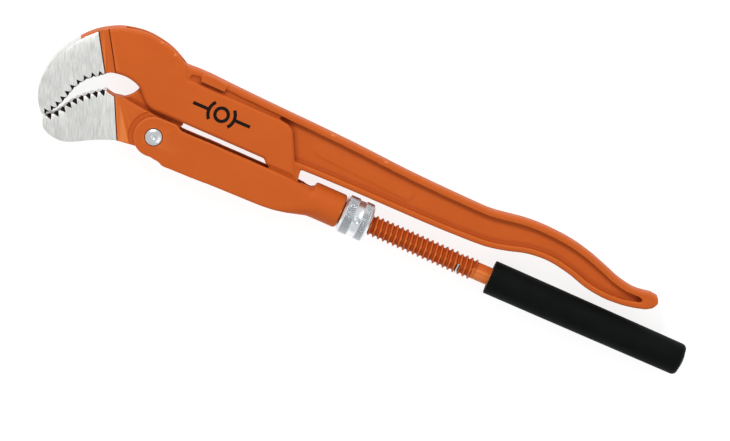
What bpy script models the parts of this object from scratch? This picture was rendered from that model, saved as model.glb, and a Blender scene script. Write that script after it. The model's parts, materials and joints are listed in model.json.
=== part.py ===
"""Pipe wrench of the Swedish pattern, with S-shaped jaws, lying flat on its side.

Outlines are drawn in millimetres from the jaw rivet: U runs along the threaded rod towards
the grip, V runs towards the upper handle, and W is the thickness, measured from the middle
plane.  The empty "wrench_datum" puts that rivet in the world, where the wrench lies on its
nut with the centre of its bounding box over the origin.
"""

from math import cos, pi, radians, sin

import bmesh
import bpy
from mathutils import Vector

MM = 0.001

# Place of the jaw rivet in the world, mm
DATUM = (-103.45, -11.7, 9.2)

# Upper arm: half thicknesses of the head, the handle's rim, its web and the hinge lug
HEAD_HALF = 6.2
RIM_HALF = 5.5
WEB_HALF = 2.6
LUG_HALF = 5.2
RIM_WIDTH = 3.0
SLOT_HALF = 2.65

# Threaded rod: its axis, the hinge pin through its flat eye, and the thread
AXIS_V = 2.4
PIN_U = 61.0
PIN_RADIUS = 3.0
EYE_RADIUS = 5.6
EYE_HALF = 2.35
CREST_RADIUS = 4.9
ROOT_RADIUS = 3.75
PITCH = 2.5
THREAD_START = 92.5
THREAD_END = 163.0
ROD_START = 70.5
ROD_END = 258.0

# Stop ring near the rear end of the thread
STOP_U = 152.4
STOP_WIRE_RADIUS = 0.55
STOP_RING_RADIUS = 4.2
STOP_GROOVE_RADIUS = 3.3
STOP_GROOVE_HALF = 0.9
STOP_START_DEG = 75.0
STOP_SPAN_DEG = 290.0

# Yoke
YOKE_HALF = 7.75
CHANNEL_HALF = 5.5
CHANNEL_END = 76.0
FLOOR_START = 13.0
FLOOR_TOP = -7.8
NOSE_RADIUS = 9.3
BARREL_RADIUS = 8.1
BARREL_END = 93.4
BARREL_CHAMFER = 0.8
BORE_RADIUS = 5.3

# Lower jaw
JAW_HALF = 6.0
HUB_HALF = 5.2
HUB_RADIUS = 9.0
HUB_CLEARANCE_RADIUS = 11.7
TONGUE_HALF = 2.35
TOOTH_DEPTH = 1.1

# Jaw rivet
RIVET_RADIUS = 3.0
RIVET_HEAD_RADIUS = 4.0
RIVET_HEAD_LOW = 7.3
RIVET_HEAD_TOP = 8.8
RIVET_DIMPLE_RADIUS = 0.8

# Adjusting nut
NUT_START = 93.8
NUT_END = 107.5
NUT_RADIUS = 9.2
NUT_CHAMFER = 1.2
NUT_GROOVE_START = 99.5
NUT_GROOVE_END = 102.6
NUT_GROOVE_RADIUS = 8.5
NUT_GROOVE_SLOPE = 0.4
TOMMY_RADIUS = 1.4
TOMMY_FLOOR = 6.4

# Grip sleeve
SLEEVE_START = 168.0
SLEEVE_END = 265.0
SLEEVE_RADIUS = 8.0
SLEEVE_REAR_RADIUS = 7.5
SLEEVE_BORE_END = 259.0

# Gap between pieces that touch
GAP = 0.3
# Length by which a cutter stands out of the piece that it cuts
PAST = 5.0
# Sides of small, middling and large round shapes, and of the stop ring's wire
SMALL_SIDES = 12
ROUND_SIDES = 24
LARGE_SIDES = 32
WIRE_SIDES = 8
# Steps round the stop ring, and rings of points to one turn of the thread
STOP_STEPS = 24
THREAD_SAMPLES = 3
# Faces that meet at more than this angle keep a sharp edge
SHARP_DEG = 35.0


# ---------------------------------------------------------------- outlines


def arc(centre, radius, start, end, steps):
    """Points on an arc, angles in degrees, counter-clockwise when end is larger."""
    angles = [radians(start + (end - start) * i / steps) for i in range(steps + 1)]
    return [(centre[0] + radius * cos(a), centre[1] + radius * sin(a)) for a in angles]


def smooth(points, steps=3):
    """Points on a smooth curve that passes through all the given ones."""
    ends = [points[0]] + list(points) + [points[-1]]
    curve = []
    for i in range(1, len(ends) - 2):
        before, start, end, after = (Vector(p) for p in ends[i - 1:i + 3])
        for k in range(steps):
            t = k / steps
            bend = (2 * before - 5 * start + 4 * end - after) * t * t
            twist = (3 * start - before - 3 * end + after) * t * t * t
            curve.append(tuple((2 * start + (end - before) * t + bend + twist) / 2))
    curve.append(tuple(points[-1]))
    return curve


def at_length(points, fraction):
    """The point at a fraction of a line's length, and the line's left normal there."""
    spans = [(Vector(b) - Vector(a)) for a, b in zip(points, points[1:])]
    left = fraction * sum(s.length for s in spans)
    for start, span in zip(points, spans):
        if left <= span.length or span is spans[-1]:
            along = span.normalized()
            return Vector(start) + along * left, Vector((-along.y, along.x))
        left -= span.length


def toothed(points, count, depth):
    """A zigzag of saw teeth along a line, each tooth standing out to the line's left."""
    line = []
    for i in range(count):
        crest, normal = at_length(points, (i + 0.35) / count)
        root, root_normal = at_length(points, (i + 0.95) / count)
        line.append(tuple(crest + normal * depth / 2))
        line.append(tuple(root - root_normal * depth / 2))
    return line


def offset(points, distance):
    """The line moved sideways, to its left when distance is positive."""
    moved = []
    for i, point in enumerate(points):
        along = Vector(points[min(i + 1, len(points) - 1)]) - Vector(points[max(i - 1, 0)])
        normal = Vector((-along.y, along.x)).normalized()
        moved.append(tuple(Vector(point) + normal * distance))
    return moved


# ---------------------------------------------------------------- solids


def prism(bm, outline, low, high):
    """A straight-sided block over an outline."""
    bottom = [bm.verts.new((u, v, low)) for u, v in outline]
    top = [bm.verts.new((u, v, high)) for u, v in outline]
    bm.faces.new(bottom)
    bm.faces.new(top)
    for i in range(len(outline)):
        j = (i + 1) % len(outline)
        bm.faces.new((bottom[i], bottom[j], top[j], top[i]))


def mirrored_prisms(bm, outline, low, high):
    """The same block on both sides of the middle plane."""
    prism(bm, outline, low, high)
    prism(bm, outline, -high, -low)


def rings(bm, loops, closed):
    """Skins a row of rings of points; the ends are capped, or joined if closed."""
    made = [[bm.verts.new(p) for p in loop] for loop in loops]
    pairs = list(zip(made, made[1:]))
    if closed:
        pairs.append((made[-1], made[0]))
    for first, second in pairs:
        for i in range(len(first)):
            j = (i + 1) % len(first)
            bm.faces.new((first[i], first[j], second[j], second[i]))
    if not closed:
        bm.faces.new(made[0])
        bm.faces.new(made[-1])


def turned_on_rod(bm, profile, segments, closed=False):
    """A profile of (u, radius) turned about the rod's axis."""
    loops = []
    for u, radius in profile:
        angles = [2 * pi * i / segments for i in range(segments)]
        loops.append([(u, AXIS_V + radius * cos(a), radius * sin(a)) for a in angles])
    rings(bm, loops, closed)


def turned_upright(bm, centre, profile, segments):
    """A profile of (radius, w) turned about a line through centre, square to the side."""
    u, v = centre
    angles = [2 * pi * i / segments for i in range(segments)]
    loops = []
    for radius, w in profile:
        loops.append([(u + radius * cos(a), v + radius * sin(a), w) for a in angles])
    rings(bm, loops, False)


def object_from(bm, name, pivot=(0, 0, 0)):
    """An object with its origin on its pivot, standing in the datum's space."""
    bmesh.ops.recalc_face_normals(bm, faces=bm.faces)
    bmesh.ops.translate(bm, verts=bm.verts, vec=-Vector(pivot))
    bmesh.ops.scale(bm, verts=bm.verts, vec=(MM, MM, MM))
    mesh = bpy.data.meshes.new(name)
    bm.to_mesh(mesh)
    bm.free()
    made = bpy.data.objects.new(name, mesh)
    bpy.context.collection.objects.link(made)
    made.parent = datum
    made.location = Vector(pivot) * MM
    return made


def piece(bm, name, material, pivot=(0, 0, 0)):
    """A sub-part of the wrench, smooth on its round faces."""
    made = object_from(bm, name, pivot)
    made.data.materials.append(material)
    made.data.shade_smooth()
    made.data.set_sharp_from_angle(angle=radians(SHARP_DEG))
    return made


def helper(bm, name):
    """A solid that only cuts or joins another, and isn't part of the wrench."""
    made = object_from(bm, name)
    made.hide_render = True
    made.display_type = "WIRE"
    return made


def combine(target, other, operation):
    """A live Boolean of two solids."""
    change = target.modifiers.new(other.name, "BOOLEAN")
    change.object = other
    change.operation = operation
    change.solver = "EXACT"


def finish(name, colour, roughness, metallic):
    """A plain material of one colour."""
    material = bpy.data.materials.new(name)
    material.use_nodes = True
    shader = material.node_tree.nodes["Principled BSDF"]
    shader.inputs["Base Color"].default_value = (*colour, 1)
    shader.inputs["Roughness"].default_value = roughness
    shader.inputs["Metallic"].default_value = metallic
    return material


# ---------------------------------------------------------------- pieces


def hole_cutter(name, centre, radius, half):
    """A round bar square to the side, for a rivet or pin hole."""
    bm = bmesh.new()
    turned_upright(bm, centre, [(radius, -half), (radius, half)], ROUND_SIDES)
    return helper(bm, name)


def head_outline():
    """Hook, head and raised plate, from the hook's tip over the top and back."""
    hook = smooth([(-51.6, -11.3), (-55.9, -5.4), (-57.9, 1.5), (-57.9, 8.5), (-56.4, 15.5),
                   (-53.0, 22.5), (-48.3, 29.3), (-42.6, 35.0), (-35.2, 39.5), (-29.5, 41.4),
                   (-22.5, 42.58), (-15.3, 42.2), (-7.4, 40.4), (0.6, 36.5)])
    plate_top = [(4.0, 30.9), (50.0, 30.9)]
    plate_corner = smooth([(54.6, 30.2), (57.2, 28.6), (58.6, 26.4)], 2)
    plate_foot = [(67.6, 9.0), (52.6, 9.0), (50.6, 11.2)]
    throat = smooth([(-5.6, 11.2), (-8.8, 12.4), (-11.8, 14.9), (-14.6, 17.8), (-18.0, 19.4),
                     (-22.6, 20.2), (-27.0, 19.8), (-29.9, 19.2)], 2)
    bite = smooth([(-32.2, 17.3), (-38.6, 12.4), (-42.5, 6.4), (-44.4, 0.0), (-46.9, -6.3),
                   (-50.6, -10.8)])
    teeth = toothed(bite, 10, TOOTH_DEPTH)
    return hook + plate_top + plate_corner + plate_foot + throat + [(-32.4, 17.6)] + teeth


def handle_edges():
    """Upper and lower edges of the handle, both from the head towards its end."""
    upper = smooth([(-8.0, 35.6), (0.8, 36.2), (10.4, 36.6), (20.7, 36.2), (40.3, 35.4),
                    (83.5, 34.0), (116.1, 32.1), (147.9, 31.3), (156.6, 31.5), (163.4, 32.5),
                    (173.2, 34.0), (183.8, 34.2), (195.0, 32.6), (207.0, 29.3), (219.1, 25.8),
                    (230.4, 24.4), (238.2, 25.5)])
    lower = smooth([(60.0, 12.8), (75.0, 13.4), (92.4, 13.7), (113.4, 13.9), (134.5, 14.1),
                    (155.3, 14.8), (163.4, 15.6), (170.9, 17.4), (179.4, 19.8), (189.4, 21.0),
                    (200.5, 20.1), (212.4, 17.0), (223.8, 15.2), (233.8, 16.2), (239.4, 18.0)])
    return upper, lower


def make_upper_arm():
    upper, lower = handle_edges()
    tip = smooth([(241.8, 25.4), (243.7, 22.9), (242.2, 19.7)])
    bm = bmesh.new()
    prism(bm, upper + tip + lower[::-1], -RIM_HALF, RIM_HALF)
    handle = helper(bm, "handle_blank")

    inner_upper = [p for p in offset(upper, -RIM_WIDTH) if 6.0 < p[0] < 230.0]
    inner_lower = [p for p in offset(lower, RIM_WIDTH) if p[0] < 229.0]
    inner_tip = smooth([(234.4, 21.9), (236.4, 21.0), (234.4, 19.9)], 2)
    recess = [(6.0, 31.4)] + inner_upper + inner_tip + inner_lower[::-1] + [(50.0, 16.0), (46.0, 29.0)]
    bm = bmesh.new()
    mirrored_prisms(bm, recess, WEB_HALF, RIM_HALF + PAST)
    combine(handle, helper(bm, "web_cutter"), "DIFFERENCE")

    bm = bmesh.new()
    prism(bm, head_outline(), -HEAD_HALF, HEAD_HALF)
    arm = piece(bm, "upper_arm", painted_steel)
    combine(arm, handle, "UNION")

    lug = [(54.2, 14.0), (54.2, 0.0)] + arc((PIN_U, 2.6), 7.3, 200, 330, 8) + [(69.0, 8.0), (68.0, 14.0)]
    bm = bmesh.new()
    prism(bm, lug, -LUG_HALF, LUG_HALF)
    combine(arm, helper(bm, "lug_blank"), "UNION")

    boss = [(9.4, 30.0), (9.4, 35.2), (12.0, 36.0), (19.4, 35.8), (21.4, 34.8), (21.4, 30.0)]
    bm = bmesh.new()
    prism(bm, boss, -HEAD_HALF + GAP, HEAD_HALF - GAP)
    combine(arm, helper(bm, "boss_blank"), "UNION")

    slot = [(-29.9, 8.0), (-31.9, 50.0), (-1.0, 50.0), (0.0, 22.0), (50.0, 22.0), (55.8, 17.5),
            (56.4, 9.6), (72.0, 9.6), (72.0, -12.0), (50.0, -12.0), (50.0, 8.0)]
    bm = bmesh.new()
    prism(bm, slot, -SLOT_HALF, SLOT_HALF)
    combine(arm, helper(bm, "slot_cutter"), "DIFFERENCE")
    pin_hole = hole_cutter("arm_pin_hole", (PIN_U, AXIS_V), PIN_RADIUS + GAP, LUG_HALF + PAST)
    combine(arm, pin_hole, "DIFFERENCE")


def make_rod_pivot_pin():
    chamfer = 0.4
    end = LUG_HALF - 0.1
    profile = [(PIN_RADIUS - chamfer, -end), (PIN_RADIUS, -end + chamfer)]
    profile += [(PIN_RADIUS, end - chamfer), (PIN_RADIUS - chamfer, end)]
    bm = bmesh.new()
    turned_upright(bm, (PIN_U, AXIS_V), profile, ROUND_SIDES)
    piece(bm, "rod_pivot_pin", bright_steel, (PIN_U, AXIS_V, 0))


def thread_radius(u, turn):
    """Radius of the right-handed thread at a place along and a part of a turn round."""
    if not THREAD_START < u < THREAD_END:
        return ROOT_RADIUS if u >= THREAD_END else CREST_RADIUS - 0.2
    phase = ((u - THREAD_START) / PITCH - turn) % 1.0
    return ROOT_RADIUS + (CREST_RADIUS - ROOT_RADIUS) * (1 - abs(2 * phase - 1))


def make_threaded_rod():
    step = PITCH / THREAD_SAMPLES
    count = round((THREAD_END - THREAD_START) / step)
    stations = [ROD_START, THREAD_START]
    stations += [THREAD_START + step * (i + 0.5) for i in range(count)]
    stations += [THREAD_END + step, ROD_END]
    loops = []
    for u in stations:
        ring = []
        for i in range(SMALL_SIDES):
            turn = i / SMALL_SIDES
            radius = thread_radius(u, turn)
            angle = 2 * pi * turn
            ring.append((u, AXIS_V + radius * cos(angle), radius * sin(angle)))
        loops.append(ring)
    bm = bmesh.new()
    rings(bm, loops, False)
    rod = piece(bm, "threaded_rod", painted_steel, (PIN_U, AXIS_V, 0))

    eye = arc((PIN_U, AXIS_V), EYE_RADIUS, 50, 310, 16)
    eye += [(72.5, AXIS_V - 4.2), (72.5, AXIS_V + 4.2)]
    bm = bmesh.new()
    prism(bm, eye, -EYE_HALF, EYE_HALF)
    combine(rod, helper(bm, "eye_blank"), "UNION")
    pin_hole = hole_cutter("eye_pin_hole", (PIN_U, AXIS_V), PIN_RADIUS + GAP, EYE_HALF + PAST)
    combine(rod, pin_hole, "DIFFERENCE")

    front, rear = STOP_U - STOP_GROOVE_HALF, STOP_U + STOP_GROOVE_HALF
    groove = [(front, STOP_GROOVE_RADIUS), (rear, STOP_GROOVE_RADIUS)]
    groove += [(rear, CREST_RADIUS + PAST), (front, CREST_RADIUS + PAST)]
    bm = bmesh.new()
    turned_on_rod(bm, groove, ROUND_SIDES, closed=True)
    combine(rod, helper(bm, "stop_groove_cutter"), "DIFFERENCE")


def make_stop_ring():
    loops = []
    for k in range(STOP_STEPS + 1):
        around = radians(STOP_START_DEG + STOP_SPAN_DEG * k / STOP_STEPS)
        ring = []
        for i in range(WIRE_SIDES):
            angle = 2 * pi * i / WIRE_SIDES
            radius = STOP_RING_RADIUS + STOP_WIRE_RADIUS * cos(angle)
            u = STOP_U + STOP_WIRE_RADIUS * sin(angle)
            ring.append((u, AXIS_V + radius * cos(around), radius * sin(around)))
        loops.append(ring)
    bm = bmesh.new()
    rings(bm, loops, False)
    piece(bm, "stop_ring", bright_steel, (STOP_U, AXIS_V, 0))


def make_yoke():
    nose = arc((0, 0), NOSE_RADIUS, 98, 282, 16)
    lower = [(6.0, -9.6), (8.6, -10.8), (30.0, -10.4), (58.0, -10.1), (70.0, -8.0), (79.0, -5.0)]
    upper = [(79.0, 7.8), (40.0, 7.6), (11.0, 7.3), (7.5, 9.2)]
    bm = bmesh.new()
    prism(bm, nose + lower + upper, -YOKE_HALF, YOKE_HALF)
    yoke = piece(bm, "yoke", painted_steel, (0, AXIS_V, 0))

    barrel = [(CHANNEL_END, 7.7), (CHANNEL_END + 2.0, BARREL_RADIUS)]
    barrel += [(BARREL_END - BARREL_CHAMFER, BARREL_RADIUS)]
    barrel += [(BARREL_END, BARREL_RADIUS - BARREL_CHAMFER)]
    bm = bmesh.new()
    turned_on_rod(bm, barrel, LARGE_SIDES)
    combine(yoke, helper(bm, "barrel_blank"), "UNION")

    channel = [(-20.0, -20.0), (FLOOR_START, -20.0), (FLOOR_START, FLOOR_TOP)]
    channel += [(CHANNEL_END, FLOOR_TOP), (CHANNEL_END, 20.0), (-20.0, 20.0)]
    bm = bmesh.new()
    prism(bm, channel, -CHANNEL_HALF, CHANNEL_HALF)
    combine(yoke, helper(bm, "channel_cutter"), "DIFFERENCE")
    bm = bmesh.new()
    bore = [(CHANNEL_END - PAST, BORE_RADIUS), (BARREL_END + PAST, BORE_RADIUS)]
    turned_on_rod(bm, bore, LARGE_SIDES)
    combine(yoke, helper(bm, "bore_cutter"), "DIFFERENCE")

    seat = RIVET_HEAD_LOW - GAP
    recess = [(RIVET_HEAD_RADIUS + GAP, seat), (RIVET_HEAD_RADIUS + GAP, YOKE_HALF + PAST)]
    profile = [(r, -w) for r, w in reversed(recess)]
    profile += [(RIVET_RADIUS + GAP, -seat), (RIVET_RADIUS + GAP, seat)] + recess
    bm = bmesh.new()
    turned_upright(bm, (0, 0), profile, ROUND_SIDES)
    combine(yoke, helper(bm, "rivet_seat_cutter"), "DIFFERENCE")


def make_jaw_rivet():
    half = [(RIVET_RADIUS, RIVET_HEAD_LOW), (RIVET_HEAD_RADIUS, RIVET_HEAD_LOW)]
    half += [(RIVET_HEAD_RADIUS, RIVET_HEAD_LOW + 0.7)]
    half += [(RIVET_HEAD_RADIUS * 0.6, RIVET_HEAD_TOP - 0.15)]
    half += [(RIVET_DIMPLE_RADIUS, RIVET_HEAD_TOP), (RIVET_DIMPLE_RADIUS / 2, RIVET_HEAD_TOP - 0.4)]
    profile = [(r, -w) for r, w in reversed(half)] + half
    bm = bmesh.new()
    turned_upright(bm, (0, 0), profile, ROUND_SIDES)
    piece(bm, "jaw_rivet", bright_steel)


def make_lower_jaw():
    bite = smooth([(-49.4, -11.4), (-46.0, -8.6), (-43.6, -5.2), (-41.8, -2.0), (-39.4, 1.4),
                   (-36.0, 4.8), (-32.6, 7.6), (-28.6, 10.6)])
    teeth = toothed(bite, 9, TOOTH_DEPTH)
    crown = [(-28.0, 10.7), (-24.3, 9.9), (-20.2, 10.8), (-18.8, 10.9), (-8.1, 9.8)]
    hub = arc((0, 0), HUB_RADIUS, 95, -125, 20)
    belly = smooth([(-10.2, -8.0), (-14.9, -8.7), (-20.3, -10.7), (-26.1, -13.5), (-31.6, -16.6),
                    (-36.5, -18.8), (-40.6, -19.2), (-45.2, -18.4), (-48.6, -16.3), (-50.1, -13.2)])
    bm = bmesh.new()
    prism(bm, teeth + crown + hub + belly, -JAW_HALF, JAW_HALF)
    jaw = piece(bm, "lower_jaw", jaw_steel)

    cheek = [(HUB_CLEARANCE_RADIUS, HUB_HALF), (HUB_CLEARANCE_RADIUS, JAW_HALF + PAST)]
    for side in (1, -1):
        bm = bmesh.new()
        turned_upright(bm, (0, 0), [(r, side * w) for r, w in cheek], LARGE_SIDES)
        combine(jaw, helper(bm, "cheek_cutter"), "DIFFERENCE")

    front = smooth([(-20.2, 10.7), (-17.0, 13.2), (-15.2, 16.0), (-14.6, 18.4)])
    top = [(-13.4, 19.4), (-5.0, 19.7), (5.0, 19.0), (9.4, 15.0), (10.4, 10.0), (9.0, 7.4)]
    bm = bmesh.new()
    prism(bm, front + top + [(0.0, 5.0), (-19.0, 5.0)], -TONGUE_HALF, TONGUE_HALF)
    combine(jaw, helper(bm, "tongue_blank"), "UNION")
    rivet_hole = hole_cutter("jaw_rivet_hole", (0, 0), RIVET_RADIUS + GAP, JAW_HALF + PAST)
    combine(jaw, rivet_hole, "DIFFERENCE")


def make_adjusting_nut():
    profile = [(NUT_START, BORE_RADIUS), (NUT_START, NUT_RADIUS - NUT_CHAMFER)]
    profile += [(NUT_START + NUT_CHAMFER, NUT_RADIUS), (NUT_GROOVE_START, NUT_RADIUS)]
    profile += [(NUT_GROOVE_START + NUT_GROOVE_SLOPE, NUT_GROOVE_RADIUS)]
    profile += [(NUT_GROOVE_END - NUT_GROOVE_SLOPE, NUT_GROOVE_RADIUS)]
    profile += [(NUT_GROOVE_END, NUT_RADIUS), (NUT_END - NUT_CHAMFER, NUT_RADIUS)]
    profile += [(NUT_END, NUT_RADIUS - NUT_CHAMFER), (NUT_END, BORE_RADIUS)]
    bm = bmesh.new()
    turned_on_rod(bm, profile, LARGE_SIDES, closed=True)
    nut = piece(bm, "adjusting_nut", bright_steel, (0, AXIS_V, 0))
    middle = (NUT_GROOVE_START + NUT_GROOVE_END) / 2
    for quarter in range(4):
        turn = radians(90 * quarter)
        outward = Vector((0, cos(turn), sin(turn)))
        across = Vector((0, -sin(turn), cos(turn)))
        loops = []
        for reach in (TOMMY_FLOOR, NUT_RADIUS + PAST):
            ring = []
            for i in range(SMALL_SIDES):
                angle = 2 * pi * i / SMALL_SIDES
                place = Vector((middle, AXIS_V, 0)) + outward * reach
                place += across * TOMMY_RADIUS * sin(angle)
                ring.append(place + Vector((TOMMY_RADIUS * cos(angle), 0, 0)))
            loops.append(ring)
        bm = bmesh.new()
        rings(bm, loops, False)
        combine(nut, helper(bm, "tommy_hole_cutter"), "DIFFERENCE")


def make_grip_sleeve():
    bore = ROOT_RADIUS + GAP
    profile = [(SLEEVE_START, bore), (SLEEVE_START, SLEEVE_RADIUS - 0.4)]
    profile += [(SLEEVE_START + 0.4, SLEEVE_RADIUS)]
    profile += [(SLEEVE_END - 6.0, SLEEVE_REAR_RADIUS), (SLEEVE_END - 3.4, SLEEVE_REAR_RADIUS - 0.6)]
    profile += [(SLEEVE_END - 1.4, SLEEVE_REAR_RADIUS - 2.2), (SLEEVE_END - 0.3, SLEEVE_REAR_RADIUS - 4.6)]
    profile += [(SLEEVE_END, 0.6), (SLEEVE_BORE_END, 0.6), (SLEEVE_BORE_END, bore)]
    bm = bmesh.new()
    turned_on_rod(bm, profile, ROUND_SIDES, closed=True)
    piece(bm, "grip_sleeve", black_plastic, (0, AXIS_V, 0))


for leftover in list(bpy.data.objects):
    bpy.data.objects.remove(leftover)

datum = bpy.data.objects.new("wrench_datum", None)
datum.location = Vector(DATUM) * MM
bpy.context.collection.objects.link(datum)

painted_steel = finish("orange_powder_coat", (0.58, 0.12, 0.03), 0.45, 0.0)
jaw_steel = finish("orange_powder_coat_jaw", (0.55, 0.14, 0.05), 0.45, 0.0)
bright_steel = finish("bright_steel", (0.62, 0.63, 0.63), 0.3, 1.0)
black_plastic = finish("black_plastic", (0.006, 0.007, 0.007), 0.4, 0.0)

make_upper_arm()
make_rod_pivot_pin()
make_threaded_rod()
make_stop_ring()
make_yoke()
make_jaw_rivet()
make_lower_jaw()
make_adjusting_nut()
make_grip_sleeve()
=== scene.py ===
"""Pipe wrench of the Swedish pattern with S-shaped jaws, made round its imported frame.

Drawings are in millimetres from the jaw rivet: U runs along the threaded rod towards the
grip, V towards the upper handle, and W is the thickness, measured from the middle plane.
"""

import json
from contextlib import contextmanager
from math import cos, hypot, pi, radians, sin

import bpy
from bpy.props import FloatProperty, FloatVectorProperty, PointerProperty
from mathutils import Matrix, Vector


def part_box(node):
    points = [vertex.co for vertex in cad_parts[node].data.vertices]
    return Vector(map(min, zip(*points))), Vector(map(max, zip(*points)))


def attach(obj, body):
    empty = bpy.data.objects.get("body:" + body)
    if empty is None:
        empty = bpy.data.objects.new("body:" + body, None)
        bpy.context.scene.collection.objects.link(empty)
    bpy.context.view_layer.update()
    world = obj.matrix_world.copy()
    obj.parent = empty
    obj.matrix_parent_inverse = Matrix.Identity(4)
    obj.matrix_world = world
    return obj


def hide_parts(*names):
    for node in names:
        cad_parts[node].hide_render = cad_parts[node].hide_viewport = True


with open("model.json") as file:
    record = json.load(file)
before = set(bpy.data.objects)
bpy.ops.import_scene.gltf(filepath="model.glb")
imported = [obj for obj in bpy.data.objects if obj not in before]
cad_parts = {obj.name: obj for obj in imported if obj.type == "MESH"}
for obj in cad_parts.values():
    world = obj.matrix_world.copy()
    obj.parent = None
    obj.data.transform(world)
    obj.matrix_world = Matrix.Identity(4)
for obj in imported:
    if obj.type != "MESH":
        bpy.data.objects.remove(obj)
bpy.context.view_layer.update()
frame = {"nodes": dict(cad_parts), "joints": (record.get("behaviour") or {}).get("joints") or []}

bl_info = {
    "name": "Pipe wrench",
    "version": (1, 0, 0),
    "blender": (4, 5, 0),
    "location": "3D View > Sidebar > Wrench",
    "description": "Makes the pieces of a Swedish-pattern pipe wrench round its packed frame",
    "category": "Add Mesh",
}

MM = 0.001
RIVET = Vector(next(j["pos_m"] for j in frame["joints"] if j["name"] == "jaw_pivot"))
FLOOR_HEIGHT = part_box("adjusting_nut")[0].z

# Upper arm, mm: half thicknesses of head, ground face, rim, web and lug
HEAD_HALF = 6.2
GROUND_HALF = 6.1
RIM_HALF = 5.5
WEB_HALF = 2.6
LUG_HALF = 5.2
RIM_WIDTH = 3.0
ARM_SLOT_HALF = 2.65
# Lines that end the ground face and the trough behind it
HOOK_LINE = ((-42.5, 33.5), (-32.2, 17.3))
TROUGH_WIDTH = 5.4
TROUGH_DEEP, TROUGH_SHALLOW = 5.2, 5.75
# Scored line where the grinding ends
LINE_WIDTH, LINE_DEPTH = 0.6, 0.8

# Rod, mm
AXIS_V = 2.4
PIN_U = 61.0
PIN_RADIUS = 3.0
EYE_RADIUS = 5.6
EYE_HALF = 2.35
CREST_RADIUS = 5.05
ROOT_RADIUS = 3.9
SHANK_RADIUS = 4.15
PITCH = 2.5
THREAD_START, THREAD_END = 92.5, 160.3
ROD_START, ROD_END = 70.5, 258.0
STOP_U = 152.4
# Where the open stop ring's wire starts and how far it runs round the rod
RING_START, RING_ARC = radians(88), radians(290)

# Yoke, mm
YOKE_HALF = 7.75
CHANNEL_HALF = 5.5
CHANNEL_END = 76.0
FLOOR_START, FLOOR_TOP = 13.0, -7.3
NOSE_RADIUS = 9.3
BARREL_RADIUS = 8.1
BARREL_END = 93.4
BORE_RADIUS = 5.3

# Lower jaw, mm
JAW_HALF = 5.95
JAW_COAT_HALF = 5.6
HUB_HALF = 5.2
HUB_RADIUS = 9.0
HUB_CLEARANCE_RADIUS = 11.7
TONGUE_HALF = 2.35
JAW_LINE = ((-24.3, 9.8), (-14.9, -8.6))
LIP_START = -28.4

# Rivet, mm
RIVET_RADIUS = 3.0
RIVET_HEAD_RADIUS = 4.0
RIVET_HEAD_LOW, RIVET_HEAD_TOP = 7.3, 8.75

# Adjusting nut, mm
NUT_START, NUT_END = 93.8, 107.5
NUT_RADIUS = 9.2
NUT_GROOVE = (99.5, 102.6)
NUT_GROOVE_RADIUS = 8.5
KNURL_DEPTH = 0.42
TOMMY_RADIUS = 1.4
TOMMY_FLOOR = 6.4

# Sleeve, mm
SLEEVE_START, SLEEVE_END = 168.0, 265.0
SLEEVE_RADIUS, SLEEVE_REAR_RADIUS = 8.0, 7.5

# Tooth gaps, mm: (height from the middle plane, depth)
NOTCH_DEPTHS = ((-7.2, 3.3), (-1.8, 0.35), (1.8, 0.35), (7.2, 3.3))

# Printed mark on the plate, mm: centre, pipe and jaw radii, half line width, bar length
MARK_CENTRE = (24.5, 22.0)
MARK_PIPE, MARK_JAW = 3.1, 6.3
MARK_LINE = 0.8
MARK_BAR = 8.0

# Camera, mm: how wide it sees, the point it looks at, and the picture's turn in degrees
VIEW_WIDTH = 335.8
VIEW_CENTRE = (1.2, -7.85, 15.7)
ROD_TILT_DEG = 23.85

# A cutter stands this far out of the piece that it cuts, mm
PAST = 4.0
# Faces that turn by less than this are flat, degrees
FLAT_DEG = 0.6


def linear(code):
    """The linear colour of an sRGB hex value."""
    parts = [int(code[i:i + 2], 16) / 255 for i in (1, 3, 5)]
    return [p / 12.92 if p <= 0.04045 else ((p + 0.055) / 1.055) ** 2.4 for p in parts] + [1.0]


# ---------------------------------------------------------------- drawing


def at(u, v, w=0.0):
    """The place in the world of a point on the drawing."""
    return RIVET + Vector((u, v, w)) * MM


def drawn(point):
    """The drawing's U, V and W of a place in the world."""
    return (Vector(point) - RIVET) / MM


def on_rod(u, radius, angle):
    """A place at a radius and an angle round the rod."""
    return at(u, AXIS_V + radius * cos(angle), radius * sin(angle))


def arc(centre, radius, start, end, steps):
    """Points on an arc, angles in degrees, counter-clockwise when end is larger."""
    angles = [radians(start + (end - start) * i / steps) for i in range(steps + 1)]
    return [(centre[0] + radius * cos(a), centre[1] + radius * sin(a)) for a in angles]


def smooth(points, steps=4):
    """Points on a smooth curve that passes through all the given ones."""
    ends = [points[0]] + list(points) + [points[-1]]
    curve = []
    for i in range(1, len(ends) - 2):
        before, start, end, after = (Vector(p) for p in ends[i - 1:i + 3])
        for k in range(steps):
            t = k / steps
            bend = (2 * before - 5 * start + 4 * end - after) * t * t
            twist = (3 * start - before - 3 * end + after) * t * t * t
            curve.append(tuple((2 * start + (end - before) * t + bend + twist) / 2))
    curve.append(tuple(points[-1]))
    return curve


def at_length(points, fraction):
    """The point at a fraction of a line's length, and the line's left normal there."""
    spans = [(Vector(b) - Vector(a)) for a, b in zip(points, points[1:])]
    left = fraction * sum(s.length for s in spans)
    for start, span in zip(points, spans):
        if left <= span.length or span is spans[-1]:
            along = span.normalized()
            return Vector(start) + along * left, Vector((-along.y, along.x))
        left -= span.length


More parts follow.
